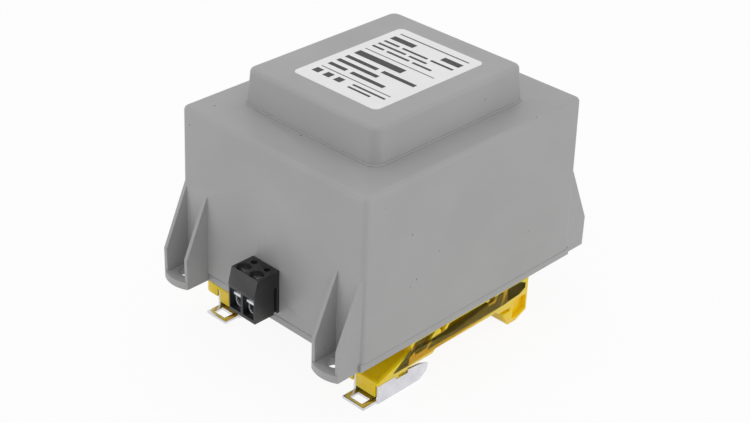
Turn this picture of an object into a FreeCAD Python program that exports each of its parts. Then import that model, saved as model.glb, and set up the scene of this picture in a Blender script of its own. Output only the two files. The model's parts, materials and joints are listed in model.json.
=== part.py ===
import FreeCAD, Part
import math
import os
import Sketcher

# Encapsulated mains transformer with rail feet.
# The frame is in millimetres. Z is up, and 0 is the underside of the base plate and of the four lugs.
# X runs along the walls that carry a terminal block, and Y from the secondary wall to the primary one.
# The origin is the centre of the four lug holes.

SIZES = {
    # case: a drafted box with a raised crown over the coil
    "case_width": 70.0,
    "case_length": 84.6,
    "case_height": 50.4,
    "case_draft": 0.65,
    "case_wall": 1.7,
    "case_edge": 1.4,
    "case_corner_extra": 0.2,
    "crown_side_gap": 3.7,
    "crown_end_gap": 1.55,
    "crown_height": 10.25,
    "crown_draft": 4.0,
    "crown_corner": 2.6,
    "crown_edge": 1.1,
    # four lugs beside the case, each a tab between two tapered gussets
    "lug_inset": 5.65,
    "lug_hole_out": 3.7,
    "lug_width": 9.7,
    "lug_reach": 7.4,
    "lug_bulge": 1.35,
    "lug_height": 27.8,
    "lug_knee": 9.3,
    "lug_gusset": 1.15,
    "lug_hole_radius": 2.15,
    # base plate that closes the potted side
    "plate_thick": 2.2,
    "plate_groove": 0.35,
    "lip_height": 1.4,
    "lip_wall": 1.2,
    "lip_gap": 0.1,
    # label
    "label_width": 30.8,
    "label_length": 41.6,
    "label_thick": 0.12,
    "label_corner": 1.8,
    "label_shift": 1.2,
    # core of E and I laminations, as large as the case takes
    "core_side_gap": 0.8,
    "core_end_gap": 1.6,
    "core_floor": 13.3,
    "core_head_gap": 0.4,
    # bobbin with two chambers
    "bobbin_gap": 0.2,
    "bobbin_wall": 1.0,
    "flange_gap": 0.3,
    "flange_floor_gap": 0.9,
    "flange_head_gap": 0.45,
    "tape_gap": 0.7,
    "winding_corner": 3.0,
    "tape_thick": 0.4,
    # thermal fuse and leads
    "fuse_radius": 1.6,
    "fuse_length": 9.0,
    "fuse_shift": 0.22,
    "fuse_clear": 5.3,
    "lead_radius": 0.5,
    "lead_inset": 1.6,
    "return_bend": 2.99,
    "return_clear": 0.68,
    # terminal block, seen from its wall
    "block_offset": -0.8,
    "block_pitch": 5.08,
    "block_width": 10.2,
    "block_depth": 8.8,
    "block_height": 13.0,
    "block_floor": 3.6,
    "block_slope_start": 8.2,
    "block_slope_run": 1.3,
    "block_step": 0.2,
    "entry_width": 4.2,
    "entry_height": 6.1,
    "entry_sill": 1.0,
    "chamber_depth": 6.6,
    "cage_head_gap": 0.15,
    "ledge_thick": 0.4,
    "driver_hole_radius": 2.0,
    "screw_set_back": 3.3,
    "probe_hole_radius": 0.95,
    "probe_hole_set_back": 6.9,
    "probe_hole_depth": 2.2,
    "dovetail_depth": 0.7,
    "dovetail_width": 1.0,
    "dovetail_set_back": 6.9,
    # clamp cage, its screw and the contact bar
    "cage_width": 3.9,
    "cage_depth": 3.0,
    "cage_height": 6.2,
    "cage_rim": 0.55,
    "cage_top": 1.3,
    "cage_floor_gap": 0.1,
    "cage_travel": 2.5,
    "thread_gap": 0.05,
    "screw_radius": 1.2,
    "screw_head_radius": 1.9,
    "screw_head_height": 1.2,
    "screw_slot": 0.55,
    "screw_slot_depth": 0.6,
    "bar_width": 2.6,
    "bar_thick": 0.8,
    "bar_gap": 0.1,
    "bar_tip": 0.9,
    "bar_tail": 4.3,
    # rail feet, in the frame of one foot whose wing side is at x = 0
    "rail_width": 35.0,
    "rail_brim": 1.0,
    "foot_inset": 15.4,
    "foot_wing_inset": 0.1,
    "foot_width": 15.1,
    "foot_front": 35.5,
    "foot_rear": 25.0,
    "foot_front_drop": 7.2,
    "ramp_end": 23.1,
    "ramp_end_drop": 2.7,
    "seat_drop": 7.4,
    "belly_drop": 6.4,
    "skirt_drop": 8.0,
    "jaw_start": 24.2,
    "step_front": 14.4,
    "step_rear": 12.6,
    "step_run": 1.0,
    "hook_drop": 13.0,
    "hook_slot_gap": 0.2,
    "hook_grip": 2.7,
    "hook_chin": 2.2,
    "hook_foot": 3.4,
    "hook_heel": 1.9,
    "hook_throat": 0.7,
    "rib": 1.2,
    "side_recess": 1.4,
    "tray_depth": 0.9,
    "wing_width": 6.0,
    "wing_drop": 10.5,
    "wing_corner": 3.0,
    "guide_drop": 11.7,
    "well_front": 21.5,
    "well_floor": 4.5,
    "well_rear": 17.3,
    "well_slant": 3.4,
    "far_well_front": 16.2,
    "far_well_rear": 21.5,
    "boss_radius": 2.0,
    "foot_screw_x": 8.0,
    "foot_screw_front": 10.7,
    "foot_screw_rear": 9.5,
    "foot_screw_radius": 1.45,
    "foot_screw_head_radius": 2.6,
    "foot_screw_head_height": 1.7,
    "foot_screw_reach": 5.0,
    "counterbore_radius": 2.8,
    "counterbore_depth": 2.4,
    # sprung clip that runs along each foot
    "clip_width": 9.0,
    "clip_sheet": 0.8,
    "clip_gap": 0.1,
    "clip_drop": 13.8,
    "clip_front": 35.2,
    "clip_tip": 15.9,
    "clip_flat_end": 19.3,
    "clip_tip_drop": 9.8,
    "clip_chin_drop": 12.1,
    "clip_travel": 3.5,
    "notch_front": 28.5,
    "notch_length": 4.6,
    "notch_depth": 1.0,
    "tab_length": 4.8,
    "tab_width": 7.8,
    "tab_hole_width": 4.3,
    "tab_hole_length": 2.9,
    "tab_rim": 1.3,
    "dimple_radius": 0.6,
    "dimple_height": 0.45,
    "dimple_back": 30.0,
    "dimple_drop": 10.2,
    "tongue_width": 3.0,
    "spring_radius": 1.05,
    "spring_wire": 0.2,
    "spring_coils": 9.0,
    "spring_seat": 33.0,
    "spring_bore": 1.5,
}

doc = FreeCAD.newDocument("encapsulated_transformer")


class Size:
    """A length known as a number and as the formula that ties it to the sheet."""

    def __init__(self, value, formula):
        self.value = value
        self.formula = formula

    def __add__(self, other):
        return joined(self, "+", other)

    def __radd__(self, other):
        return joined(other, "+", self)

    def __sub__(self, other):
        return joined(self, "-", other)

    def __rsub__(self, other):
        return joined(other, "-", self)

    def __mul__(self, other):
        return joined(self, "*", other)

    def __rmul__(self, other):
        return joined(other, "*", self)

    def __truediv__(self, other):
        return joined(self, "/", other)

    def __neg__(self):
        return joined(0, "-", self)


OPERATIONS = {
    "+": lambda a, b: a + b,
    "-": lambda a, b: a - b,
    "*": lambda a, b: a * b,
    "/": lambda a, b: a / b,
}


def as_size(value):
    if isinstance(value, Size):
        return value
    return Size(float(value), f"({float(value)})")


def joined(left, sign, right):
    left = as_size(left)
    right = as_size(right)
    return Size(OPERATIONS[sign](left.value, right.value), f"({left.formula} {sign} {right.formula})")


def slope_of(degrees):
    """Sideways run of a drafted wall for each millimetre of its height."""
    return Size(math.tan(math.radians(degrees.value)), f"tan({degrees.formula} * 1deg)")


class Sheet:
    """The driving dimensions, each in a cell with its own alias."""

    def __init__(self, sizes):
        self.cells = doc.addObject("Spreadsheet::Sheet", "Dimensions")
        for row, (name, value) in enumerate(sizes.items(), start=1):
            self.cells.set(f"A{row}", name)
            self.cells.set(f"B{row}", str(value))
            self.cells.setAlias(f"B{row}", name)
            setattr(self, name, Size(value, f"Dimensions.{name}"))
        doc.recompute()


S = Sheet(SIZES)


def bind(target, path, size):
    target.setExpression(path, as_size(size).formula)


def bind_place(target, x=0, y=0, z=0):
    bind(target, ".Placement.Base.x", x)
    bind(target, ".Placement.Base.y", y)
    bind(target, ".Placement.Base.z", z)
    return target


def labelled(target, label):
    target.Label = label
    return target


# Sketches: a loop is a function that draws itself into a sketch.

def vector(x, y, z=0):
    return FreeCAD.Vector(as_size(x).value, as_size(y).value, as_size(z).value)


def pin_point(sketch, geometry, point, position):
    for kind, size in zip(("DistanceX", "DistanceY"), position):
        size = as_size(size)
        row = sketch.addConstraint(Sketcher.Constraint(kind, -1, 1, geometry, point, size.value))
        sketch.setExpression(f"Constraints[{row}]", size.formula)


def polygon(*points):
    def draw(sketch):
        first = sketch.GeometryCount
        following = points[1:] + points[:1]
        for start, end in zip(points, following):
            sketch.addGeometry(Part.LineSegment(vector(*start), vector(*end)), False)
        for index, point in enumerate(points):
            after = first + (index + 1) % len(points)
            sketch.addConstraint(Sketcher.Constraint("Coincident", first + index, 2, after, 1))
            pin_point(sketch, first + index, 1, point)
    return draw


def rectangle(x_low, x_high, y_low, y_high):
    return polygon((x_low, y_low), (x_high, y_low), (x_high, y_high), (x_low, y_high))


def centred(width, length, x=0, y=0):
    return rectangle(x - width / 2, x + width / 2, y - length / 2, y + length / 2)


def circle(x, y, radius):
    def draw(sketch):
        index = sketch.GeometryCount
        sketch.addGeometry(Part.Circle(vector(x, y), FreeCAD.Vector(0, 0, 1), radius.value), False)
        pin_point(sketch, index, 3, (x, y))
        row = sketch.addConstraint(Sketcher.Constraint("Radius", index, radius.value))
        sketch.setExpression(f"Constraints[{row}]", radius.formula)
    return draw


def bowed_tab(x_low, x_high, y_root, y_front, bulge):
    """A rectangle whose front edge is a shallow arc that stands out by the bulge."""
    half = (x_high - x_low) / 2
    size = as_size(bulge)
    outward = 1 if y_front.value > y_root.value else -1
    radius = (half * half + size * size) / (2 * size)
    centre_x = (x_low + x_high) / 2
    centre_y = y_front + outward * (size - radius)

    def draw(sketch):
        first = sketch.GeometryCount
        outline = ((x_low, y_front), (x_low, y_root), (x_high, y_root), (x_high, y_front))
        corners = [vector(*point) for point in outline]
        crest = vector(centre_x, y_front + outward * size)
        for start, end in zip(corners[:3], corners[1:]):
            sketch.addGeometry(Part.LineSegment(start, end), False)
        bow = (corners[0], corners[3]) if outward < 0 else (corners[3], corners[0])
        sketch.addGeometry(Part.Arc(bow[0], crest, bow[1]), False)
        for index in range(2):
            sketch.addConstraint(Sketcher.Constraint("Coincident", first + index, 2, first + index + 1, 1))
        arc_start = 1 if outward < 0 else 2
        sketch.addConstraint(Sketcher.Constraint("Coincident", first, 1, first + 3, arc_start))
        sketch.addConstraint(Sketcher.Constraint("Coincident", first + 2, 2, first + 3, 3 - arc_start))
        pin_point(sketch, first, 1, (x_low, y_front))
        pin_point(sketch, first, 2, (x_low, y_root))
        pin_point(sketch, first + 1, 2, (x_high, y_root))
        right = as_size(x_high)
        row = sketch.addConstraint(Sketcher.Constraint("DistanceX", -1, 1, first + 2, 2, right.value))
        sketch.setExpression(f"Constraints[{row}]", right.formula)
        pin_point(sketch, first + 3, 3, (centre_x, centre_y))
    return draw


# Part design features. The normal of the XZ plane points along -Y, so its offsets change sign.

PLANES = {"XY": ("XY_Plane", 1), "XZ": ("XZ_Plane", -1), "YZ": ("YZ_Plane", 1)}


def new_body(label):
    return labelled(doc.addObject("PartDesign::Body", label), label)


def sketch_on(body, plane, start, loops):
    role, sign = PLANES[plane]
    sketch = body.newObject("Sketcher::SketchObject", f"{body.Name}_sketch")
    sketch.AttachmentSupport = ([f for f in body.Origin.OriginFeatures if f.Role == role][0], [""])
    sketch.MapMode = "FlatFace"
    bind(sketch, ".AttachmentOffset.Base.z", as_size(start) * sign)
    for loop in loops:
        loop(sketch)
    doc.recompute()
    return sketch


def feature(body, kind, plane, start, length, loops, taper):
    sketch = sketch_on(body, plane, start, loops)
    made = body.newObject(f"PartDesign::{kind}", f"{body.Name}_{kind.lower()}")
    made.Profile = sketch
    bind(made, "Length", length)
    along_normal = PLANES[plane][1] == 1
    made.Reversed = (kind == "Pad") != along_normal
    if taper is not None:
        bind(made, "TaperAngle", taper)
    doc.recompute()
    return made


def pad(body, plane, start, length, *loops, taper=None):
    return feature(body, "Pad", plane, start, length, loops, taper)


def pocket(body, plane, start, length, *loops, taper=None):
    """Cuts from start along the plane's own positive axis, and makes sure that something was cut."""
    before = body.Shape.Volume
    made = feature(body, "Pocket", plane, start, length, loops, taper)
    if made.Shape.Volume > before - 1e-6:
        raise RuntimeError(f"{made.Name} cuts nothing")
    return made


def round_edges(body, kind, size, chosen):
    """Fillets or chamfers every edge of the body's tip that the test chooses."""
    base = body.Tip
    names = [f"Edge{i}" for i, edge in enumerate(base.Shape.Edges, start=1) if chosen(edge)]
    made = body.newObject(f"PartDesign::{kind}", f"{body.Name}_{kind.lower()}")
    made.Base = (base, names)
    bind(made, "Radius" if kind == "Fillet" else "Size", size)
    doc.recompute()
    return made


def upright(edge):
    low, high = edge.BoundBox.ZMin, edge.BoundBox.ZMax
    run = max(edge.BoundBox.XLength, edge.BoundBox.YLength)
    return high - low > 4 * run


def at_height(edge, z):
    return edge.BoundBox.ZLength < 1e-3 and abs(edge.BoundBox.ZMin - z) < 1e-3


# Part primitives and booleans.

def box(label, low, high):
    made = labelled(doc.addObject("Part::Box", label), label)
    for side, start, end in zip(("Length", "Width", "Height"), low, high):
        bind(made, side, as_size(end) - start)
    return bind_place(made, *low)


AXIS_TURNS = {
    "X": FreeCAD.Rotation(FreeCAD.Vector(0, 1, 0), 90),
    "Y": FreeCAD.Rotation(FreeCAD.Vector(1, 0, 0), -90),
    "Z": FreeCAD.Rotation(),
}


def cylinder(label, radius, length, base, axis="Z"):
    made = labelled(doc.addObject("Part::Cylinder", label), label)
    bind(made, "Radius", radius)
    bind(made, "Height", length)
    made.Placement = FreeCAD.Placement(FreeCAD.Vector(), AXIS_TURNS[axis])
    return bind_place(made, *base)


def fuse(label, parts):
    made = labelled(doc.addObject("Part::MultiFuse", label), label)
    made.Shapes = parts
    return made


def cut(label, base, tool):
    made = labelled(doc.addObject("Part::Cut", label), label)
    made.Base = base
    made.Tool = tool
    return made


# Shared places, worked out from the driving dimensions.

draft = slope_of(S.case_draft)
case_x = S.case_width / 2
case_y = S.case_length / 2
ceiling = S.case_height - S.case_wall
crown_top = S.case_height + S.crown_height
plate_top = S.plate_thick
core_x = case_x - S.case_wall - S.core_side_gap
core_y = case_y - S.case_wall - S.core_end_gap
core_low = S.core_floor
core_stack = ceiling - S.core_head_gap - core_low
core_middle = core_low + core_stack / 2
leg = core_y / 3
window_x = core_x * 0.6
flange_x = window_x - S.bobbin_gap
flange_y = leg * 2 - S.flange_gap
flange_low = plate_top + S.flange_floor_gap - core_middle
flange_high = crown_top - S.case_wall - S.flange_head_gap - core_middle
crown_width = 2 * (flange_x + S.case_wall + S.crown_side_gap)
crown_length = 2 * (flange_y + S.case_wall + S.crown_end_gap)
tube_y = leg + S.bobbin_gap + S.bobbin_wall
tube_z = core_stack / 2 + S.bobbin_gap + S.bobbin_wall
tape_y = flange_y - S.tape_gap
winding_y = tape_y - S.tape_thick
cage_low = S.entry_sill + S.cage_floor_gap
bar_low = S.block_floor + cage_low + S.cage_height - S.cage_top - S.bar_gap - S.bar_thick
bar_middle = bar_low + S.bar_thick / 2
bar_end = case_y - S.bar_tail
cage_y = S.screw_set_back - S.block_depth
chamber_top = S.entry_sill + S.cage_floor_gap + S.cage_height + S.cage_travel + S.cage_head_gap


def corner_signs():
    return [(side_x, side_y) for side_x in (-1, 1) for side_y in (-1, 1)]


def lug_span(side_x):
    """Low and high x of the lugs on one side of the case."""
    middle = (case_x - S.lug_inset) * side_x
    return middle - S.lug_width / 2, middle + S.lug_width / 2


def plate_outline(margin):
    """Outline of the base plate, notched where the case wall comes down behind a lug."""
    x_out = case_x + margin
    y_out = case_y + margin
    y_in = case_y - S.case_wall
    front = [(-x_out, -y_out)]
    for low, high in (lug_span(-1), lug_span(1)):
        front += [(low, -y_out), (low, -y_in), (high, -y_in), (high, -y_out)]
    front.append((x_out, -y_out))
    rear = [(x, -y) for x, y in reversed(front)]
    return polygon(*front, *rear)


def bar_windows(clear_y_low, body, length):
    """Slots through one wall for the two contact bars."""
    side = 1 if as_size(clear_y_low).value > 0 else -1
    loops = []
    for way in (-1, 1):
        x = (-S.block_offset if side > 0 else S.block_offset) + way * S.block_pitch / 2
        loops.append(rectangle(x - S.bar_width / 2, x + S.bar_width / 2, bar_low, bar_low + S.bar_thick))
    pocket(body, "XZ", clear_y_low, length, *loops)


def make_housing():
    body = new_body("housing")
    pad(body, "XY", 0, S.case_height, centred(S.case_width, S.case_length), taper=-S.case_draft)
    round_edges(body, "Fillet", S.case_edge + S.case_corner_extra, upright)
    round_edges(body, "Fillet", S.case_edge, lambda edge: at_height(edge, S.case_height.value))
    pad(body, "XY", ceiling, S.crown_height + S.case_wall, centred(crown_width, crown_length),
        taper=-S.crown_draft)

    def on_crown(edge):
        return upright(edge) and edge.BoundBox.ZMin > S.case_height.value - 0.01

    round_edges(body, "Fillet", S.crown_corner, on_crown)
    round_edges(body, "Fillet", S.crown_edge, lambda edge: at_height(edge, crown_top.value))
    add_lugs(body)
    inner_width = S.case_width - 2 * S.case_wall
    inner_length = S.case_length - 2 * S.case_wall
    pocket(body, "XY", 0, ceiling, centred(inner_width, inner_length), taper=-S.case_draft)
    pocket(body, "XY", ceiling, S.crown_height, taper=-S.crown_draft,
           *[centred(crown_width - 2 * S.case_wall, crown_length - 2 * S.case_wall)])
    pocket(body, "XY", 0, S.plate_thick, plate_outline(1))
    reach = S.case_wall * 3
    bar_windows(-case_y - S.case_wall, body, reach)
    bar_windows(case_y - S.case_wall * 2, body, reach)
    return body


def add_lugs(body):
    root = case_y - S.case_wall / 2
    front = case_y + S.lug_reach
    tabs = []
    for side_x, side_y in corner_signs():
        low, high = lug_span(side_x)
        tabs.append(bowed_tab(low, high, root * side_y, front * side_y, S.lug_bulge))
    pad(body, "XY", 0, S.plate_thick, *tabs)
    gussets = []
    for way in (-1, 1):
        foot = (front * way, 0)
        knee = (front * way, S.lug_knee)
        gussets.append(polygon((root * way, 0), foot, knee, (root * way, S.lug_height)))
    for side_x in (-1, 1):
        low, high = lug_span(side_x)
        pad(body, "YZ", low, S.lug_gusset, *gussets)
        pad(body, "YZ", high - S.lug_gusset, S.lug_gusset, *gussets)
    holes = [circle((case_x - S.lug_inset) * side_x, (case_y + S.lug_hole_out) * side_y, S.lug_hole_radius)
             for side_x, side_y in corner_signs()]
    pocket(body, "XY", 0, S.plate_thick, *holes)


def foot_x(side):
    """Where the wing side of a foot is, the right foot (1) or the left one (-1)."""
    return case_x - S.foot_inset if side > 0 else S.foot_wing_inset - case_x


def foot_screw_places():
    """Row x and y of the four screws that hold the feet."""
    places = []
    for side in (1, -1):
        for y in (-S.foot_screw_front, S.foot_screw_rear):
            places.append((foot_x(side) + S.foot_screw_x, y))
    return places


def make_base_plate():
    body = new_body("base_plate")
    pad(body, "XY", 0, S.plate_thick, plate_outline(0))

    def outer(edge):
        box_of = edge.BoundBox
        far_x = abs(abs(box_of.Center.x) - case_x.value) < 1e-3
        far_y = abs(abs(box_of.Center.y) - case_y.value) < 1e-3
        return at_height(edge, plate_top.value) and (far_x or far_y) and box_of.DiagonalLength > 5

    round_edges(body, "Chamfer", S.plate_groove, outer)
    lip_x = S.case_width - 2 * (S.case_wall + S.lip_gap)
    lip_y = S.case_length - 2 * (S.case_wall + S.lip_gap)
    pad(body, "XY", plate_top, S.lip_height, centred(lip_x, lip_y),
        centred(lip_x - 2 * S.lip_wall, lip_y - 2 * S.lip_wall))
    holes = [circle(x, y, S.foot_screw_radius) for x, y in foot_screw_places()]
    pocket(body, "XY", 0, S.plate_thick, *holes)
    return body


def make_label():
    body = new_body("rating_label")
    pad(body, "XY", 0, S.label_thick, centred(S.label_width, S.label_length))
    round_edges(body, "Fillet", S.label_corner, upright)
    return bind_place(body, S.label_shift, 0, crown_top)


def make_core():
    """E and I stacks, laid flat, with the coil's axis along X."""
    slot_out = leg * 2
    e_stack = new_body("core_e_stack")
    pad(e_stack, "XY", 0, core_stack, polygon(
        (-core_x, -core_y), (window_x, -core_y), (window_x, -slot_out), (-window_x, -slot_out),
        (-window_x, -leg), (window_x, -leg), (window_x, leg), (-window_x, leg),
        (-window_x, slot_out), (window_x, slot_out), (window_x, core_y), (-core_x, core_y)))
    i_stack = new_body("core_i_stack")
    pad(i_stack, "XY", 0, core_stack, rectangle(window_x, core_x, -core_y, core_y))
    return [bind_place(e_stack, 0, 0, core_low), bind_place(i_stack, 0, 0, core_low)]


def make_bobbin():
    body = new_body("bobbin")
    hole = centred(2 * (tube_y - S.bobbin_wall), 2 * (tube_z - S.bobbin_wall))
    pad(body, "YZ", -flange_x, 2 * flange_x, centred(2 * tube_y, 2 * tube_z), hole)
    flange = rectangle(-flange_y, flange_y, flange_low, flange_high)
    for start in (-flange_x, -S.bobbin_wall / 2, flange_x - S.bobbin_wall):
        pad(body, "YZ", start, S.bobbin_wall, flange, hole)
    return bind_place(body, 0, 0, core_middle)


def make_ring(label, start, outline, hole, corner, inner_corner):
    """A winding or its tape, as a ring round the bobbin's tube with rounded corners."""
    length = flange_x - S.bobbin_wall * 1.5
    body = new_body(label)
    pad(body, "YZ", start, length, outline)

    def along_x(edge):
        return edge.BoundBox.XLength > length.value / 2

    round_edges(body, "Fillet", corner, along_x)
    if inner_corner is None:
        pocket(body, "YZ", start, length, hole)
        return bind_place(body, 0, 0, core_middle)
    core = new_body(f"{label}_core")
    pad(core, "YZ", start, length, hole)
    round_edges(core, "Fillet", inner_corner, along_x)
    return bind_place(cut(label, labelled(body, f"{label}_outer"), core), 0, 0, core_middle)


def make_windings():
    low = flange_low + S.tape_gap
    high = flange_high - S.tape_gap
    tube = centred(2 * tube_y, 2 * tube_z)
    winding = rectangle(-winding_y, winding_y, low + S.tape_thick, high - S.tape_thick)
    tape = rectangle(-tape_y, tape_y, low, high)
    made = []
    for name, start in (("primary", S.bobbin_wall - flange_x), ("secondary", S.bobbin_wall / 2)):
        made.append(make_ring(f"{name}_winding", start, winding, tube, S.winding_corner, None))
        made.append(make_ring(f"{name}_tape", start, tape, winding, S.winding_corner + S.tape_thick,
                              S.winding_corner))
    return made


ARC_ROOM = 0.995


def rounded_route(points, radius):
    """Straight runs joined by tangent arcs, as one wire. A short run holds its arc to what it has room for."""
    edges = []
    start = points[0]
    for before, corner, after in zip(points, points[1:], points[2:]):
        inward = (before - corner).normalize()
        onward = (after - corner).normalize()
        half = inward.getAngle(onward) / 2
        room = ARC_ROOM * min((before - corner).Length, (after - corner).Length)
        back = min(radius / math.tan(half), room)
        bend = back * math.tan(half)
        first = corner + inward * back
        last = corner + onward * back
        middle = corner + (inward + onward).normalize() * (bend / math.sin(half) - bend)
        edges.append(Part.LineSegment(start, first).toShape())
        edges.append(Part.Arc(first, middle, last).toShape())
        start = last
    edges.append(Part.LineSegment(start, points[-1]).toShape())
    return Part.Wire(edges)


def make_lead(label, route):
    """An insulated lead inside the potting, one tube along its route."""
    radius = S.lead_radius.value
    points = [vector(*point) for point in route]
    wire = rounded_route(points, radius * 2)
    heading = points[1] - points[0]
    ring = Part.Wire([Part.Circle(points[0], heading, radius).toShape()])
    made = labelled(doc.addObject("Part::Feature", label), label)
    made.Shape = wire.makePipeShell([ring], True, False)
    made.Placement = FreeCAD.Placement()
    return made


def make_fuse_and_leads():
    """The primary side has the thermal fuse in one of its two leads."""
    fuse_y = tape_y + S.fuse_clear
    z = bar_middle
    bar = [-S.block_offset + way * S.block_pitch / 2 for way in (-1, 1)]
    near = S.fuse_radius
    winding_side = S.bobbin_wall + S.lead_inset - flange_x
    fuse_start = (winding_side + bar[0] - S.fuse_length) / 2 + S.fuse_shift
    fuse_end = fuse_start + S.fuse_length
    thermal_fuse = cylinder("thermal_fuse", S.fuse_radius, S.fuse_length, (fuse_start, fuse_y, z), "X")
    made = [
        thermal_fuse,
        make_lead("fuse_winding_lead", [(fuse_start, fuse_y, z), (winding_side, fuse_y, z),
                                        (winding_side, tape_y, z)]),
        make_lead("fuse_terminal_lead", [(fuse_end, fuse_y, z), (bar[0], fuse_y, z), (bar[0], bar_end, z)]),
        make_lead("primary_return_lead", [(bar[1], bar_end, z), (bar[1], tape_y + S.return_bend, z),
                                          (-near * 1.5, tape_y + S.return_clear, z),
                                          (-near * 1.5, tape_y, z)]),
    ]
    out = [S.block_offset + way * S.block_pitch / 2 for way in (-1, 1)]
    inner = S.bobbin_wall * 4
    outer = flange_x - S.bobbin_wall * 4
    halfway = (bar_end + tape_y) / 2
    made.append(make_lead("secondary_start_lead", [(out[0], -bar_end, z), (out[0], -halfway, z),
                                                   (inner, -tape_y - near, z), (inner, -tape_y, z)]))
    made.append(make_lead("secondary_end_lead", [(out[1], -bar_end, z), (out[1], -halfway - near, z),
                                                 (outer, -halfway + near, z), (outer, -tape_y, z)]))
    return made


# Terminal blocks. Each is drawn with the wall at y = 0 and its front towards -Y, then set on its own wall.

HALF_TURN = FreeCAD.Rotation(FreeCAD.Vector(0, 0, 1), 180)


def on_wall(target, side):
    """Sets a terminal piece on the secondary wall (-1) or, turned half a turn, on the primary wall (1)."""
    if side > 0:
        target.Placement = FreeCAD.Placement(FreeCAD.Vector(), HALF_TURN)
    return bind_place(target, -side * S.block_offset, side * case_y, S.block_floor)


def pole_x(way):
    return way * S.block_pitch / 2


def make_terminal_housing(name, side):
    body = new_body(f"{name}_terminal_housing")
    front = -S.block_depth
    lower_front = front + S.block_step
    step = S.block_slope_start - S.block_step
    pad(body, "YZ", -S.block_width / 2, S.block_width, polygon(
        (0, 0), (lower_front, 0), (lower_front, step), (front, step), (front, S.block_slope_start),
        (front + S.block_slope_run, S.block_height), (0, S.block_height)))
    entry_top = S.entry_sill + S.entry_height
    half = S.entry_width / 2
    pocket(body, "XZ", front - 1, S.chamber_depth + 1,
           *[rectangle(pole_x(way) - half, pole_x(way) + half, S.entry_sill, entry_top) for way in (-1, 1)])
    chamber_front = cage_y - S.cage_depth / 2 - S.thread_gap * 2
    pocket(body, "XY", S.entry_sill, chamber_top - S.entry_sill,
           *[rectangle(pole_x(way) - half, pole_x(way) + half, chamber_front, front + S.chamber_depth)
             for way in (-1, 1)])
    pocket(body, "XY", chamber_top - S.ledge_thick, S.ledge_thick * 3,
           *[circle(pole_x(way), cage_y, S.screw_radius + S.thread_gap * 4) for way in (-1, 1)])
    ledge_top = chamber_top + S.ledge_thick
    pocket(body, "XY", ledge_top, S.block_height - ledge_top,
           *[circle(pole_x(way), cage_y, S.driver_hole_radius) for way in (-1, 1)])
    probe_y = front + S.probe_hole_set_back
    pocket(body, "XY", S.block_height - S.probe_hole_depth, S.probe_hole_depth,
           *[circle(pole_x(way), probe_y, S.probe_hole_radius) for way in (-1, 1)])
    bar_z = bar_low - S.block_floor
    bar_half = S.bar_width / 2
    pocket(body, "XZ", -S.block_depth + S.chamber_depth - 1, S.block_depth,
           *[rectangle(pole_x(way) - bar_half, pole_x(way) + bar_half, bar_z, bar_z + S.bar_thick)
             for way in (-1, 1)])
    groove = front + S.dovetail_set_back
    edge = S.block_width / 2
    pocket(body, "XY", 0, S.block_slope_start, polygon(
        (edge + 1, groove), (edge, groove), (edge - S.dovetail_depth, groove - S.dovetail_width / 4),
        (edge - S.dovetail_depth, groove + S.dovetail_width * 5 / 4), (edge, groove + S.dovetail_width),
        (edge + 1, groove + S.dovetail_width)))
    return on_wall(body, side)


def make_cage(label, x, side):
    """A rising clamp cage: a flat-topped frame with a round bottom, threaded for its screw."""
    half = S.cage_width / 2
    front = cage_y - S.cage_depth / 2
    rear = front + S.cage_depth
    low = cage_low
    top = low + S.cage_height
    inner = half - S.cage_rim
    plate = top - S.cage_top
    outer = fuse(f"{label}_outer", [
        box(f"{label}_block", (x - half, front, low + half), (x + half, rear, top)),
        cylinder(f"{label}_round", half, S.cage_depth, (x, front, low + half), "Y")])
    window = fuse(f"{label}_window", [
        box(f"{label}_gap", (x - inner, front - 1, low + half), (x + inner, rear + 1, plate)),
        cylinder(f"{label}_wire_seat", inner, S.cage_depth + 2, (x, front - 1, low + half), "Y"),
        cylinder(f"{label}_thread", S.screw_radius + S.thread_gap, S.cage_top + 1,
                 (x, cage_y, plate - 0.5))])
    return on_wall(cut(label, outer, window), side)


def make_terminal_screw(label, x, side):
    head_low = chamber_top + S.ledge_thick + S.thread_gap
    head_top = head_low + S.screw_head_height
    shank_low = bar_low - S.block_floor + S.bar_thick + S.bar_gap * 2
    solid = fuse(f"{label}_solid", [
        cylinder(f"{label}_shank", S.screw_radius, head_low - shank_low + S.screw_head_height / 2,
                 (x, cage_y, shank_low)),
        cylinder(f"{label}_head", S.screw_head_radius, S.screw_head_height, (x, cage_y, head_low))])
    reach = S.screw_head_radius + 1
    slot = box(f"{label}_slot", (x - reach, cage_y - S.screw_slot / 2, head_top - S.screw_slot_depth),
               (x + reach, cage_y + S.screw_slot / 2, head_top + 1))
    return on_wall(cut(label, solid, slot), side)


def make_contact_bar(label, x, side):
    z = bar_low - S.block_floor
    bar = box(label, (0, 0, 0), (S.bar_width, S.block_depth - S.bar_tip + S.bar_tail, S.bar_thick))
    sense = 1 if side < 0 else -1
    if side > 0:
        bar.Placement = FreeCAD.Placement(FreeCAD.Vector(), HALF_TURN)
    return bind_place(bar, sense * (S.block_offset + x - S.bar_width / 2),
                      sense * (S.bar_tip - S.block_depth - case_y), S.block_floor + z)


def make_terminals():
    made = []
    for name, side in (("secondary", -1), ("primary", 1)):
        made.append(make_terminal_housing(name, side))
        for pole, way in (("left", -1), ("right", 1)):
            x = pole_x(way)
            made.append(make_cage(f"{name}_{pole}_clamp_cage", x, side))
            made.append(make_terminal_screw(f"{name}_{pole}_terminal_screw", x, side))
            made.append(make_contact_bar(f"{name}_{pole}_contact_bar", x, side))
    return made


# Rail feet. Each foot, its clip, spring and screws share one frame whose x = 0 is the foot's wing side.

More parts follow.
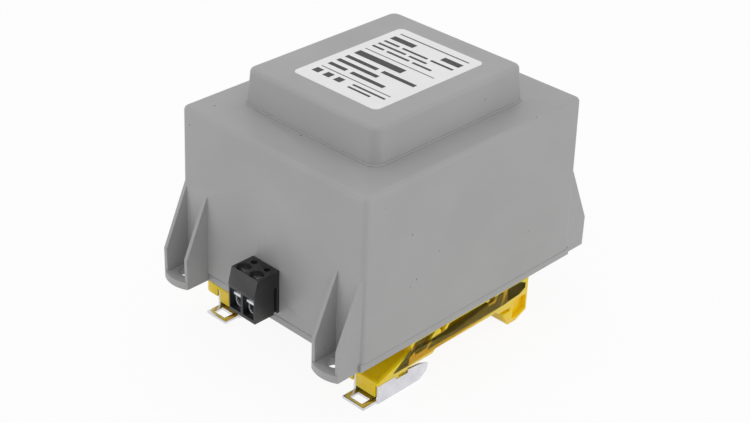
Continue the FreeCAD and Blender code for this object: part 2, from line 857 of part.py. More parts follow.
rail_half = S.rail_width / 2
hook_slot_rear = rail_half + S.hook_slot_gap
hook_tip = hook_slot_rear - S.hook_grip
hook_top = S.seat_drop + S.rail_brim + S.hook_slot_gap
guide_start = S.foot_width - S.clip_width + S.clip_sheet + S.clip_gap
guide_end = S.foot_width - S.clip_sheet - S.clip_gap
clip_start = S.foot_width - S.clip_width
clip_middle = S.foot_width - S.clip_width / 2
clip_top = S.skirt_drop + S.clip_gap * 1.5
tongue_rear = S.notch_front - S.notch_length - S.clip_sheet
spring_front = S.spring_seat
spring_length = spring_front - tongue_rear - S.clip_sheet
spring_drop = (S.guide_drop + S.skirt_drop) / 2


def foot_profile():
    chin_y = hook_tip + S.hook_chin
    return polygon(
        (-S.foot_front, -S.skirt_drop), (-S.foot_front, -S.foot_front_drop),
        (-S.ramp_end, -S.ramp_end_drop), (-S.ramp_end, 0),
        (S.foot_rear, 0), (S.foot_rear, S.hook_heel - S.hook_drop),
        (chin_y + S.hook_foot, -S.hook_drop), (chin_y, -S.hook_drop), (hook_tip, -hook_top - S.hook_throat),
        (hook_tip, -hook_top), (hook_slot_rear, -hook_top), (hook_slot_rear, -S.seat_drop),
        (S.step_rear, -S.seat_drop), (S.step_rear - S.step_run, -S.belly_drop),
        (S.step_run - S.step_front, -S.belly_drop), (-S.step_front, -S.seat_drop),
        (-S.jaw_start, -S.seat_drop), (-S.jaw_start, -S.skirt_drop))


def ramp_at(y):
    """Height of the ramp's top at a given y."""
    run = S.foot_front - S.ramp_end
    rise = S.foot_front_drop - S.ramp_end_drop
    return (y + S.foot_front) / run * rise - S.foot_front_drop


def well_wall_at(z):
    """Where the slanted rear wall of the front well stands at height z."""
    rise = S.well_floor - S.rib / 2
    return (z + S.well_floor) / rise * S.well_slant - S.well_rear


def side_recesses():
    """Sunk panels between the ribs of a foot's side, in order from the ramp to the hook."""
    rib = S.rib
    panel_low = rib - S.belly_drop
    ramp_panel_front = rib * 5 - S.foot_front
    ramp_panel_rear = -S.ramp_end - rib / 2
    ramp_panel_low = rib / 2 - S.seat_drop
    ramp_panel = polygon(
        (ramp_panel_front, ramp_panel_low), (ramp_panel_rear, ramp_panel_low),
        (ramp_panel_rear, ramp_at(ramp_panel_rear) - rib * 1.3),
        (ramp_panel_front, ramp_at(ramp_panel_front) - rib * 1.3))
    well = polygon(
        (-S.well_front, -S.well_floor), (well_wall_at(-S.well_floor), -S.well_floor),
        (well_wall_at(-rib / 2), -rib / 2), (-S.well_front, -rib / 2))
    boss = S.boss_radius + rib / 2
    front_boss = -S.foot_screw_front
    rear_boss = S.foot_screw_rear
    middle = polygon(
        (well_wall_at(panel_low) + rib, panel_low), (S.step_rear - rib * 1.5, panel_low),
        (S.far_well_front - rib * 2, -S.belly_drop + rib), (S.far_well_front - rib * 1.5, -rib / 2),
        (rear_boss + boss, -rib / 2), (rear_boss + boss / 2, -boss), (rear_boss - boss / 2, -boss),
        (rear_boss - boss, -rib / 2), (front_boss + boss, -rib / 2), (front_boss + boss / 2, -boss),
        (front_boss - boss / 2, -boss), (well_wall_at(-boss) + rib, -boss))
    far_well = polygon(
        (S.far_well_front, -S.well_floor), (S.far_well_rear, -S.well_floor),
        (S.foot_rear - rib, -S.well_floor + rib), (S.foot_rear - rib, -rib * 1.5),
        (S.far_well_rear, -rib / 2), (S.far_well_front, -rib / 2))
    hook_panel = polygon(
        (S.far_well_front + rib * 2, -S.well_floor - rib), (S.foot_rear - rib / 2, -S.well_floor - rib),
        (S.foot_rear - rib / 2, S.hook_heel - S.hook_drop + rib / 2),
        (hook_slot_rear + S.hook_foot, rib - S.hook_drop), (hook_slot_rear + rib, rib - S.hook_drop),
        (hook_slot_rear + rib, -S.well_floor - rib * 1.5))
    return [ramp_panel, well, middle, far_well, hook_panel]


def boss_wells():
    radius = S.boss_radius - S.rib / 2
    loops = []
    for y in (-S.foot_screw_front, S.foot_screw_rear):
        loops.append(polygon((y - radius, 0), (y + radius, 0), (y + radius / 2, -radius * 1.4),
                             (y - radius / 2, -radius * 1.4)))
    return loops


def make_foot(name, side):
    body = new_body(f"{name}_rail_foot")
    pad(body, "YZ", 0, S.foot_width, foot_profile())
    skirt = S.skirt_drop - S.clip_gap
    pad(body, "YZ", guide_start, guide_end - guide_start,
        rectangle(-S.foot_front, -S.jaw_start, -S.guide_drop, -skirt))
    pad(body, "YZ", 0, S.wing_width, rectangle(-S.foot_front, -S.jaw_start, -S.wing_drop, -skirt))
    tray_y = -S.foot_front + S.rib
    pocket(body, "YZ", S.rib, S.foot_width - 2 * S.rib, polygon(
        (tray_y, ramp_at(tray_y) - S.tray_depth / 3), (-S.ramp_end, -S.ramp_end_drop - S.tray_depth),
        (-S.ramp_end, 1), (tray_y, 1)))

    def outer_corner(edge):
        place = edge.BoundBox.Center
        tall = edge.BoundBox.ZLength > 1
        return tall and abs(edge.BoundBox.XMax) < 1e-3 and abs(place.y + S.foot_front.value) < 1e-3

    round_edges(body, "Fillet", S.wing_corner, outer_corner)
    pocket(body, "YZ", S.foot_width - S.side_recess, S.side_recess, *side_recesses())
    pocket(body, "YZ", S.foot_width - S.side_recess, S.side_recess, *boss_wells())
    pocket(body, "YZ", 0, S.side_recess, *side_recesses()[2:])
    cut_clip_ways(body)
    places = [(S.foot_screw_x, y) for y in (-S.foot_screw_front, S.foot_screw_rear)]
    pocket(body, "XY", -S.foot_front, S.foot_front, *[circle(x, y, S.foot_screw_radius) for x, y in places])
    pocket(body, "XY", -S.foot_front, S.foot_front - S.belly_drop + S.counterbore_depth,
           *[circle(x, y, S.counterbore_radius) for x, y in places])
    return bind_place(body, foot_x(side), 0, 0)


def cut_clip_ways(body):
    """Spring bore, tongue slot, dimple grooves and stop nubs on the block that guides the clip."""
    pocket(body, "XZ", -S.spring_seat, S.spring_seat - S.jaw_start + 1,
           circle(clip_middle, -spring_drop, S.spring_bore))
    slot = S.tongue_width / 2 + S.clip_gap
    slot_front = tongue_rear + S.clip_sheet + S.clip_travel + S.clip_gap * 2
    pocket(body, "XY", -S.guide_drop - 1, S.guide_drop + 1 - S.skirt_drop - S.clip_gap * 3,
           rectangle(clip_middle - slot, clip_middle + slot, -slot_front, -S.jaw_start + 1))
    reach = S.dimple_radius + S.clip_gap
    groove = rectangle(-S.dimple_back - reach - S.clip_travel, -S.dimple_back + reach,
                       -S.dimple_drop - reach, -S.dimple_drop + reach)
    depth = S.dimple_height + S.clip_gap
    pocket(body, "YZ", guide_start, depth - S.clip_gap, groove)
    pocket(body, "YZ", guide_end - depth + S.clip_gap, depth, groove)
    nub_rear = -S.notch_front + S.clip_gap
    nub_length = S.notch_length - S.clip_travel - S.clip_gap * 2
    nub = rectangle(nub_rear, nub_rear + nub_length, -S.skirt_drop - S.notch_depth + S.clip_gap * 1.5,
                    -S.skirt_drop + S.clip_gap)
    pad(body, "YZ", guide_start - S.clip_sheet, S.clip_sheet + S.clip_gap, nub)
    pad(body, "YZ", guide_end - S.clip_gap, S.clip_sheet + S.clip_gap, nub)


def make_clip(name, side):
    body = new_body(f"{name}_rail_clip")
    floor = S.clip_drop
    flat_rear = -S.clip_flat_end
    notch_end = S.notch_length - S.notch_front
    side_plate = polygon(
        (-S.clip_front, -floor), (-S.clip_front, -clip_top), (-S.notch_front, -clip_top),
        (-S.notch_front, -clip_top - S.notch_depth), (notch_end, -clip_top - S.notch_depth),
        (notch_end, -clip_top), (flat_rear, -hook_top), (-S.clip_tip, -S.clip_tip_drop),
        (-S.clip_tip - S.clip_sheet, -S.clip_chin_drop), (flat_rear, -floor))
    pad(body, "XY", -floor, S.clip_sheet,
        rectangle(clip_start, S.foot_width, -S.clip_front, flat_rear))
    pad(body, "YZ", clip_start, S.clip_sheet, side_plate)
    pad(body, "YZ", S.foot_width - S.clip_sheet, S.clip_sheet, side_plate)
    half = S.tab_width / 2
    tab_end = S.clip_front + S.tab_length
    pad(body, "XY", -floor, S.clip_sheet,
        rectangle(clip_middle - half, clip_middle + half, -tab_end, -S.clip_front + S.clip_sheet))
    hole_front = -tab_end + S.tab_rim
    pocket(body, "XY", -floor, S.clip_sheet,
           rectangle(clip_middle - S.tab_hole_width / 2, clip_middle + S.tab_hole_width / 2,
                     hole_front, hole_front + S.tab_hole_length))
    tongue = S.tongue_width / 2
    pad(body, "XY", S.clip_sheet / 2 - floor, floor - S.clip_sheet / 2 - S.skirt_drop - S.clip_gap * 5,
        rectangle(clip_middle - tongue, clip_middle + tongue, -tongue_rear - S.clip_sheet, -tongue_rear))
    for start in (clip_start + S.clip_sheet / 2, S.foot_width - S.clip_sheet - S.dimple_height):
        pad(body, "YZ", start, S.dimple_height + S.clip_sheet / 2,
            circle(-S.dimple_back, -S.dimple_drop, S.dimple_radius))
    return bind_place(body, foot_x(side), 0, 0)


def make_spring(name, side):
    """Compression spring between the guide block and the clip's tongue, wound along Y."""
    radius = S.spring_radius.value
    wire = S.spring_wire.value
    length = spring_length.value - 2 * wire
    helix = Part.makeHelix(length / S.spring_coils.value, length, radius)
    ring = Part.Wire([Part.Circle(FreeCAD.Vector(radius, 0, 0), FreeCAD.Vector(0, 1, 0), wire).toShape()])
    label = f"{name}_clip_spring"
    made = labelled(doc.addObject("Part::Feature", label), label)
    made.Shape = Part.Wire(helix.Edges).makePipeShell([ring], True, True)
    along_y = FreeCAD.Rotation(FreeCAD.Vector(1, 0, 0), -90)
    made.Placement = FreeCAD.Placement(
        vector(foot_x(side) + clip_middle, wire - spring_front, -spring_drop), along_y)
    return made


def make_foot_screws(name, side):
    """The two pan-head screws of a foot, in its counterbores and through the base plate."""
    label = f"{name}_foot_screws"
    screws = []
    head_low = S.counterbore_depth - S.belly_drop - S.foot_screw_head_height
    for end, y in (("front", -S.foot_screw_front), ("rear", S.foot_screw_rear)):
        part = f"{label}_{end}"
        base = (S.foot_screw_x, y, head_low)
        solid = fuse(f"{part}_solid", [
            cylinder(f"{part}_head", S.foot_screw_head_radius, S.foot_screw_head_height, base),
            cylinder(f"{part}_shank", S.foot_screw_radius, S.foot_screw_reach - head_low, base)])
        arm = S.foot_screw_head_radius * 0.6
        thin = S.screw_slot / 2
        deep = S.foot_screw_head_height * 0.6
        low = head_low - 1
        high = head_low + deep
        x = S.foot_screw_x
        cross = fuse(f"{part}_cross", [
            box(f"{part}_cross_x", (x - arm, y - thin, low), (x + arm, y + thin, high)),
            box(f"{part}_cross_y", (x - thin, y - arm, low), (x + thin, y + arm, high))])
        screws.append(cut(part, solid, cross))
    pair = labelled(doc.addObject("Part::Compound", label), label)
    pair.Links = screws
    return bind_place(pair, foot_x(side), 0, 0)


def make_feet():
    made = []
    for name, side in (("left", -1), ("right", 1)):
        made.append(make_foot(name, side))
        made.append(make_clip(name, side))
        made.append(make_spring(name, side))
        made.append(make_foot_screws(name, side))
    return made


def make_potting(held):
    """Resin that fills the case round everything inside it, down to the base plate."""
    body = new_body("potting_block")
    inner_width = S.case_width - 2 * S.case_wall - 2 * draft * S.plate_thick
    inner_length = S.case_length - 2 * S.case_wall - 2 * draft * S.plate_thick
    pad(body, "XY", plate_top, ceiling - plate_top, centred(inner_width, inner_length), taper=-S.case_draft)
    pad(body, "XY", ceiling, S.crown_height, taper=-S.crown_draft,
        *[centred(crown_width - 2 * S.case_wall, crown_length - 2 * S.case_wall)])
    return cut("potting_compound", body, fuse("potted_pieces", held))


def check(objects):
    """Stops unless every object computed and every sub-part has a sound solid shape."""
    for item in doc.Objects:
        if "Invalid" in item.State or "Error" in item.State:
            raise RuntimeError(f"{item.Label} failed: {item.State}")
    for item in objects:
        if item.Shape.isNull() or not item.Shape.isValid() or not item.Shape.Solids:
            raise RuntimeError(f"{item.Label} has no valid solid")


def write(objects):
    os.makedirs("parts", exist_ok=True)
    for item in objects:
        item.Shape.exportStep(os.path.join("parts", f"{item.Label}.step"))
        print(f"{item.Label:34s} solids {len(item.Shape.Solids)} volume {item.Shape.Volume:10.2f}")


def main():
    housing = make_housing()
    base_plate = make_base_plate()
    core = make_core()
    bobbin = make_bobbin()
    windings = make_windings()
    inner = make_fuse_and_leads()
    terminals = make_terminals()
    feet = make_feet()
    bars = [item for item in terminals if item.Label.endswith("contact_bar")]
    screws = [item for item in feet if item.Label.endswith("foot_screws")]
    held = [base_plate, *core, bobbin, *windings, *inner, *bars, *screws]
    potting = make_potting(held)
    label = make_label()
    doc.recompute()
    nodes = [housing, base_plate, potting, *core, bobbin, *windings, *inner, label, *terminals, *feet]
    check(nodes)
    write(nodes)


main()
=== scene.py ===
import json
import math

import bmesh
import bpy
from mathutils import Matrix, Vector

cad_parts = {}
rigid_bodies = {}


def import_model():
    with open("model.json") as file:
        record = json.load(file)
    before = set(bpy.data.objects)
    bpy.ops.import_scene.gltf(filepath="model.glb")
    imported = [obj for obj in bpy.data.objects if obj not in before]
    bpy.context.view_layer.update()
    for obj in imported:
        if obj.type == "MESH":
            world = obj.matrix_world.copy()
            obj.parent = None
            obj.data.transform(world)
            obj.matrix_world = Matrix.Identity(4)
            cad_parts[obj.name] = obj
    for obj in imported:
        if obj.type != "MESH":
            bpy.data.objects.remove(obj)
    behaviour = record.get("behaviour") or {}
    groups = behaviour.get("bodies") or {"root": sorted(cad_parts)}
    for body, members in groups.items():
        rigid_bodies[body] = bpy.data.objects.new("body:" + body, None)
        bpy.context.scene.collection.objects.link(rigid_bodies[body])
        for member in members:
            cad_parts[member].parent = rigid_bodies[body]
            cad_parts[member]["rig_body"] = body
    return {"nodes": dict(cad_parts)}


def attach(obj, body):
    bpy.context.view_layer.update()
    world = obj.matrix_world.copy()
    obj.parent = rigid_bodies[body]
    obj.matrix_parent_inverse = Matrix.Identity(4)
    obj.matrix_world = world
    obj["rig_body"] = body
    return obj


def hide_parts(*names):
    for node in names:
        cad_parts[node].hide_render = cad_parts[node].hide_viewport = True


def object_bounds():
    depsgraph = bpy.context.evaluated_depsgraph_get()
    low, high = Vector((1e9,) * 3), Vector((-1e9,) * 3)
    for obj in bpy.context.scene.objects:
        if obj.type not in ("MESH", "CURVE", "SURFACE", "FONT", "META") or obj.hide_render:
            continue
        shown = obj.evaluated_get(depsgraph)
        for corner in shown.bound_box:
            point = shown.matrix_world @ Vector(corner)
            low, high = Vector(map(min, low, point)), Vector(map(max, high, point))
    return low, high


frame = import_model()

MM = 0.001
cad_low, cad_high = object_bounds()


# Materials. Patterns run on Object coordinates, which are metres, so each takes its scale from a size in mm.

def linear(hex_colour):
    channels = [int(hex_colour[i:i + 2], 16) / 255 for i in (1, 3, 5)]
    return [c / 12.92 if c <= 0.04045 else ((c + 0.055) / 1.055) ** 2.4 for c in channels] + [1.0]


def per(size_mm):
    return 1 / (size_mm * MM)


# A wave texture repeats once in this much of its scaled coordinate.
WAVE_PERIOD = math.tau / 20


def add(tree, kind, settings=None, links=None):
    """One node with its settings, by socket or attribute, and the nodes or outputs that feed its sockets.
    The stops of a ramp are pairs of a place and a hex colour."""
    node = tree.nodes.new(kind)
    for key, value in (settings or {}).items():
        if key == "stops":
            for element, (place, colour) in zip(node.color_ramp.elements, value):
                element.position = place
                element.color = linear(colour)
        elif isinstance(key, int) or key in node.inputs:
            node.inputs[key].default_value = value
        else:
            setattr(node, key, value)
    for key, source in (links or {}).items():
        tree.links.new(getattr(source, "outputs", [source])[0], node.inputs[key])
    return node


def surface(name, settings):
    """A new material: itself, its tree, its shader and its Object coordinates."""
    material = bpy.data.materials.new(name)
    material.use_nodes = True
    tree = material.node_tree
    tree.nodes.clear()
    shader = add(tree, "ShaderNodeBsdfPrincipled", settings)
    add(tree, "ShaderNodeOutputMaterial", links={"Surface": shader})
    return material, tree, shader, add(tree, "ShaderNodeTexCoord").outputs["Object"]


def finish(tree, shader, colour, roughness, normal=None):
    tree.links.new(colour, shader.inputs["Base Color"])
    tree.links.new(roughness.outputs[0], shader.inputs["Roughness"])
    if normal:
        tree.links.new(normal.outputs[0], shader.inputs["Normal"])


def moulded_abs():
    """Injection-moulded ABS in mid grey: even and satin, with a faint cloudiness from the melt, a fine orange
    peel, and here and there a speck of stray pigment."""
    material, tree, shader, place = surface("moulded_grey_abs", {"IOR": 1.54})
    melt = add(tree, "ShaderNodeTexNoise", {"Scale": per(22), "Detail": 3.0}, {"Vector": place})
    cloud = add(tree, "ShaderNodeValToRGB", {"stops": [(0.3, "#A3A3A3"), (0.7, "#A8A8A8")]}, {"Fac": melt})
    pigment = add(tree, "ShaderNodeTexNoise", {"Scale": per(1.1), "Detail": 0.0}, {"Vector": place})
    speck = add(tree, "ShaderNodeMapRange", {"From Min": 0.89, "From Max": 0.905}, {"Value": pigment})
    colour = add(tree, "ShaderNodeMix", {"data_type": "RGBA", 7: linear("#4C4C4C")}, {0: speck, 6: cloud})
    sheen = add(tree, "ShaderNodeTexNoise", {"Scale": per(9), "Detail": 3.0}, {"Vector": place})
    roughness = add(tree, "ShaderNodeMapRange", {"To Min": 0.38, "To Max": 0.56}, {"Value": sheen})
    sink = add(tree, "ShaderNodeTexNoise", {"Scale": per(13), "Detail": 1.0}, {"Vector": place})
    sunk = add(tree, "ShaderNodeBump", {"Distance": 0.05 * MM, "Strength": 0.6}, {"Height": sink})
    peel = add(tree, "ShaderNodeTexNoise", {"Scale": per(0.7), "Detail": 2.0}, {"Vector": place})
    grain = add(tree, "ShaderNodeBump", {"Distance": 0.014 * MM, "Strength": 0.6},
                {"Height": peel, "Normal": sunk})
    finish(tree, shader, colour.outputs[2], roughness, grain)
    return material


def moulded_black_polyamide():
    """Glass-filled polyamide in black: a dry satin, a little streaky where it flowed."""
    material, tree, shader, place = surface("moulded_black_polyamide", {"IOR": 1.53})
    flow = add(tree, "ShaderNodeTexNoise", {"Scale": per(2.5), "Detail": 4.0}, {"Vector": place})
    colour = add(tree, "ShaderNodeValToRGB", {"stops": [(0.3, "#1B1B1C"), (0.7, "#222223")]}, {"Fac": flow})
    roughness = add(tree, "ShaderNodeMapRange", {"To Min": 0.32, "To Max": 0.52}, {"Value": flow})
    fibres = add(tree, "ShaderNodeTexNoise", {"Scale": per(0.3), "Detail": 3.0}, {"Vector": place})
    grain = add(tree, "ShaderNodeBump", {"Distance": 0.012 * MM, "Strength": 0.6}, {"Height": fibres})
    finish(tree, shader, colour.outputs[0], roughness, grain)
    return material


def moulded_yellow_polyamide():
    """Unfilled polyamide in signal yellow: glossy, and the light that gets into it warms its hollows."""
    material, tree, shader, place = surface("moulded_yellow_polyamide", {
        "IOR": 1.53, "Subsurface Weight": 0.6, "Subsurface Radius": (1.0, 0.5, 0.05),
        "Subsurface Scale": 2.2 * MM})
    melt = add(tree, "ShaderNodeTexNoise", {"Scale": per(9), "Detail": 2.0}, {"Vector": place})
    colour = add(tree, "ShaderNodeValToRGB", {"stops": [(0.3, "#FFD200"), (0.7, "#FFD800")]}, {"Fac": melt})
    roughness = add(tree, "ShaderNodeMapRange", {"To Min": 0.24, "To Max": 0.36}, {"Value": melt})
    sink = add(tree, "ShaderNodeTexNoise", {"Scale": per(1.8), "Detail": 2.0}, {"Vector": place})
    waves = add(tree, "ShaderNodeBump", {"Distance": 0.02 * MM, "Strength": 0.5}, {"Height": sink})
    finish(tree, shader, colour.outputs[0], roughness, waves)
    return material


def nickel_plated_steel():
    """Cold-rolled spring steel in bright nickel: mirror-like, with faint rolling lines along the strip."""
    material, tree, shader, place = surface("nickel_plated_spring_steel", {"Metallic": 1.0})
    tarnish = add(tree, "ShaderNodeTexNoise", {"Scale": per(4), "Detail": 2.0}, {"Vector": place})
    colour = add(tree, "ShaderNodeValToRGB", {"stops": [(0.3, "#D0D0D6"), (0.7, "#E0E0E4")]},
                 {"Fac": tarnish})
    strip = add(tree, "ShaderNodeMapping", {"Scale": (per(0.35), per(6.5), per(0.35))}, {"Vector": place})
    lines = add(tree, "ShaderNodeTexNoise", {"Scale": 1.0, "Detail": 2.0}, {"Vector": strip})
    roughness = add(tree, "ShaderNodeMapRange", {"To Min": 0.14, "To Max": 0.3}, {"Value": lines})
    press = add(tree, "ShaderNodeTexNoise", {"Scale": per(3.2), "Detail": 1.0}, {"Vector": place})
    dents = add(tree, "ShaderNodeBump", {"Distance": 0.03 * MM, "Strength": 0.5}, {"Height": press})
    rolled = add(tree, "ShaderNodeBump", {"Distance": 0.004 * MM, "Strength": 0.6},
                 {"Height": lines, "Normal": dents})
    finish(tree, shader, colour.outputs[0], roughness, rolled)
    return material


def zinc_plated_steel():
    """Small turned and pressed steel parts under a cool, slightly uneven zinc finish."""
    material, tree, shader, place = surface("zinc_plated_steel", {"Metallic": 1.0})
    bloom = add(tree, "ShaderNodeTexNoise", {"Scale": per(1.2), "Detail": 3.0}, {"Vector": place})
    colour = add(tree, "ShaderNodeValToRGB", {"stops": [(0.3, "#CDD0D4"), (0.7, "#E0E2E5")]}, {"Fac": bloom})
    roughness = add(tree, "ShaderNodeMapRange", {"To Min": 0.2, "To Max": 0.42}, {"Value": bloom})
    turning = add(tree, "ShaderNodeTexNoise", {"Scale": per(0.4), "Detail": 2.0}, {"Vector": place})
    marks = add(tree, "ShaderNodeBump", {"Distance": 0.008 * MM, "Strength": 0.5}, {"Height": turning})
    finish(tree, shader, colour.outputs[0], roughness, marks)
    return material


def white_polyester_film():
    """Printed polyester film: flat white, with a soft sheen where the adhesive lifts it a little."""
    material, tree, shader, place = surface("white_polyester_film", {"IOR": 1.6})
    lift = add(tree, "ShaderNodeTexNoise", {"Scale": per(8), "Detail": 2.0}, {"Vector": place})
    colour = add(tree, "ShaderNodeValToRGB", {"stops": [(0.3, "#F1F1F1"), (0.7, "#F5F5F5")]}, {"Fac": lift})
    roughness = add(tree, "ShaderNodeMapRange", {"To Min": 0.34, "To Max": 0.44}, {"Value": lift})
    waves = add(tree, "ShaderNodeBump", {"Distance": 0.02 * MM, "Strength": 0.4}, {"Height": lift})
    finish(tree, shader, colour.outputs[0], roughness, waves)
    return material


def thermal_print_ink():
    """Thermal transfer print: matt dark grey, a little thin in places."""
    material, tree, shader, place = surface("thermal_print_ink", {})
    cover = add(tree, "ShaderNodeTexNoise", {"Scale": per(0.5), "Detail": 2.0}, {"Vector": place})
    colour = add(tree, "ShaderNodeValToRGB", {"stops": [(0.3, "#2C2C2D"), (0.7, "#4A4A4B")]}, {"Fac": cover})
    roughness = add(tree, "ShaderNodeMapRange", {"To Min": 0.55, "To Max": 0.7}, {"Value": cover})
    finish(tree, shader, colour.outputs[0], roughness)
    return material


def cast_resin():
    """Polyurethane potting resin: nearly black, glossy where it has flowed level."""
    material, tree, shader, place = surface("cast_polyurethane_resin", {"IOR": 1.5})
    flow = add(tree, "ShaderNodeTexNoise", {"Scale": per(7), "Detail": 3.0}, {"Vector": place})
    colour = add(tree, "ShaderNodeValToRGB", {"stops": [(0.3, "#202022"), (0.7, "#2A2A2C")]}, {"Fac": flow})
    roughness = add(tree, "ShaderNodeMapRange", {"To Min": 0.18, "To Max": 0.36}, {"Value": flow})
    finish(tree, shader, colour.outputs[0], roughness)
    return material


def lamination_steel():
    """Silicon steel sheets in a stack: their cut edges show as level lines, drawn 3.1 mm apart."""
    material, tree, shader, place = surface("silicon_steel_laminations", {"Metallic": 1.0})
    sheets = add(tree, "ShaderNodeTexWave", {"Scale": WAVE_PERIOD * per(3.1416), "bands_direction": "Z"},
                 {"Vector": place})
    colour = add(tree, "ShaderNodeValToRGB", {"stops": [(0.2, "#5A5D61"), (0.6, "#8A8D91")]}, {"Fac": sheets})
    oil = add(tree, "ShaderNodeTexNoise", {"Scale": per(2), "Detail": 2.0}, {"Vector": place})
    roughness = add(tree, "ShaderNodeMapRange", {"To Min": 0.35, "To Max": 0.55}, {"Value": oil})
    steps = add(tree, "ShaderNodeBump", {"Distance": 0.05 * MM, "Strength": 0.7}, {"Height": sheets})
    finish(tree, shader, colour.outputs[0], roughness, steps)
    return material


def enamelled_copper():
    """Copper wire under clear enamel, wound side by side along the coil, with its turns drawn 5.7 mm apart and
    each turn darkened towards its grooves as painted shade.
    """
    material, tree, shader, place = surface("enamelled_copper_wire", {
        "Metallic": 1.0, "Coat Weight": 0.6, "Coat Roughness": 0.15})
    turns = add(tree, "ShaderNodeTexWave", {"Scale": WAVE_PERIOD * per(5.6549), "bands_direction": "X"},
                {"Vector": place})
    # painted shade: the ramp darkens each turn towards the groove between turns
    colour = add(tree, "ShaderNodeValToRGB", {"stops": [(0.1, "#7A3415"), (0.7, "#C96A34")]}, {"Fac": turns})
    enamel = add(tree, "ShaderNodeTexNoise", {"Scale": per(2), "Detail": 2.0}, {"Vector": place})
    roughness = add(tree, "ShaderNodeMapRange", {"To Min": 0.25, "To Max": 0.4}, {"Value": enamel})
    wires = add(tree, "ShaderNodeBump", {"Distance": 0.2 * MM, "Strength": 0.8}, {"Height": turns})
    finish(tree, shader, colour.outputs[0], roughness, wires)
    return material


def polyester_tape():
    """Amber polyester tape, wound tight and glossy over the coil."""
    material, tree, shader, place = surface("polyester_winding_tape", {"IOR": 1.57})
    tension = add(tree, "ShaderNodeTexNoise", {"Scale": per(5), "Detail": 2.0}, {"Vector": place})
    colour = add(tree, "ShaderNodeValToRGB", {"stops": [(0.3, "#D99A1E"), (0.7, "#E8AE32")]},
                 {"Fac": tension})
    roughness = add(tree, "ShaderNodeMapRange", {"To Min": 0.2, "To Max": 0.36}, {"Value": tension})
    finish(tree, shader, colour.outputs[0], roughness)
    return material


def natural_polyamide():
    """Uncoloured glass-filled polyamide: creamy and dull."""
    material, tree, shader, place = surface("natural_polyamide", {
        "IOR": 1.53, "Subsurface Weight": 0.1, "Subsurface Scale": 1.0 * MM})
    melt = add(tree, "ShaderNodeTexNoise", {"Scale": per(7), "Detail": 3.0}, {"Vector": place})
    colour = add(tree, "ShaderNodeValToRGB", {"stops": [(0.3, "#DCD3BC"), (0.7, "#E6DEC9")]}, {"Fac": melt})
    roughness = add(tree, "ShaderNodeMapRange", {"To Min": 0.4, "To Max": 0.52}, {"Value": melt})
    finish(tree, shader, colour.outputs[0], roughness)
    return material


def silicone_sleeve():
    """Soft black extruded sleeve, dull and slightly dusty."""
    material, tree, shader, place = surface("black_silicone_sleeve", {"IOR": 1.41})
    dust = add(tree, "ShaderNodeTexNoise", {"Scale": per(2), "Detail": 3.0}, {"Vector": place})
    colour = add(tree, "ShaderNodeValToRGB", {"stops": [(0.3, "#1A1A1A"), (0.7, "#272727")]}, {"Fac": dust})
    roughness = add(tree, "ShaderNodeMapRange", {"To Min": 0.55, "To Max": 0.7}, {"Value": dust})
    finish(tree, shader, colour.outputs[0], roughness)
    return material


ABS = moulded_abs()
BLACK = moulded_black_polyamide()
YELLOW = moulded_yellow_polyamide()
NICKEL = nickel_plated_steel()
ZINC = zinc_plated_steel()
FILM = white_polyester_film()
INK = thermal_print_ink()
RESIN = cast_resin()
LAMINATIONS = lamination_steel()
COPPER = enamelled_copper()
TAPE = polyester_tape()
CREAM = natural_polyamide()
SLEEVE = silicone_sleeve()

FINISHES = {
    "housing": ABS, "base_plate": ABS, "potting_compound": RESIN, "core_e_stack": LAMINATIONS,
    "core_i_stack": LAMINATIONS, "bobbin": CREAM, "thermal_fuse": ZINC, "rating_label": FILM,
}
FINISHES_BY_ENDING = {
    "_winding": COPPER, "_tape": TAPE, "_lead": SLEEVE, "_terminal_housing": BLACK, "_clamp_cage": ZINC,
    "_terminal_screw": ZINC, "_contact_bar": ZINC, "_rail_foot": YELLOW, "_rail_clip": NICKEL,
    "_clip_spring": ZINC, "_foot_screws": ZINC,
}


def finish_of(node):
    if node in FINISHES:
        return FINISHES[node]
    return next(material for ending, material in FINISHES_BY_ENDING.items() if node.endswith(ending))


def paint(target, material):
    target.data.materials.clear()
    target.data.materials.append(material)


for node_name, cad_node in frame["nodes"].items():
    paint(cad_node, finish_of(node_name))


# Pieces. A piece that stands for a CAD node rides on its body and takes its place, and the node is hidden.


def mesh_of(form, name):
    mesh = bpy.data.meshes.new(name)
    form.to_mesh(mesh)
    form.free()
    return mesh


def piece(form, name, material, node, stands_for=True):
    """Puts a finished form into the scene beside a CAD node or in its place."""
    made = bpy.data.objects.new(name, mesh_of(form, name))
    bpy.context.scene.collection.objects.link(made)
    paint(made, material)
    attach(made, frame["nodes"][node]["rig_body"])
    if stands_for:
        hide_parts(node)
    return made


WELD = 0.002 * MM
COPLANAR = math.radians(1)
SOFT_UNDER = math.radians(32)

CASE_EDGE = 0.2 * MM
PLATE_EDGE = 0.12 * MM
BLOCK_EDGE = 0.09 * MM
CAGE_EDGE = 0.06 * MM
SCREW_EDGE = 0.08 * MM
FOOT_EDGE = 0.15 * MM
CLIP_EDGE = 0.1 * MM
EDGE_STEPS = 3
SMALL_EDGE_STEPS = 2


def dressed(node, radius, segments=EDGE_STEPS):
    """A CAD piece with its loose triangles joined and its sharp edges rounded by a real radius."""
    form = bmesh.new()
    form.from_mesh(frame["nodes"][node].data)
    bmesh.ops.remove_doubles(form, verts=form.verts, dist=WELD)
    bmesh.ops.dissolve_limit(form, angle_limit=COPLANAR, verts=form.verts, edges=form.edges)
    made = piece(form, f"{node}_finished", finish_of(node), node)
    made.data.shade_smooth()
    edges = made.modifiers.new("edge_radius", "BEVEL")
    edges.width = radius
    edges.segments = segments
    edges.limit_method = "ANGLE"
    edges.angle_limit = SOFT_UNDER
    edges.harden_normals = True
    edges.miter_outer = "MITER_ARC"


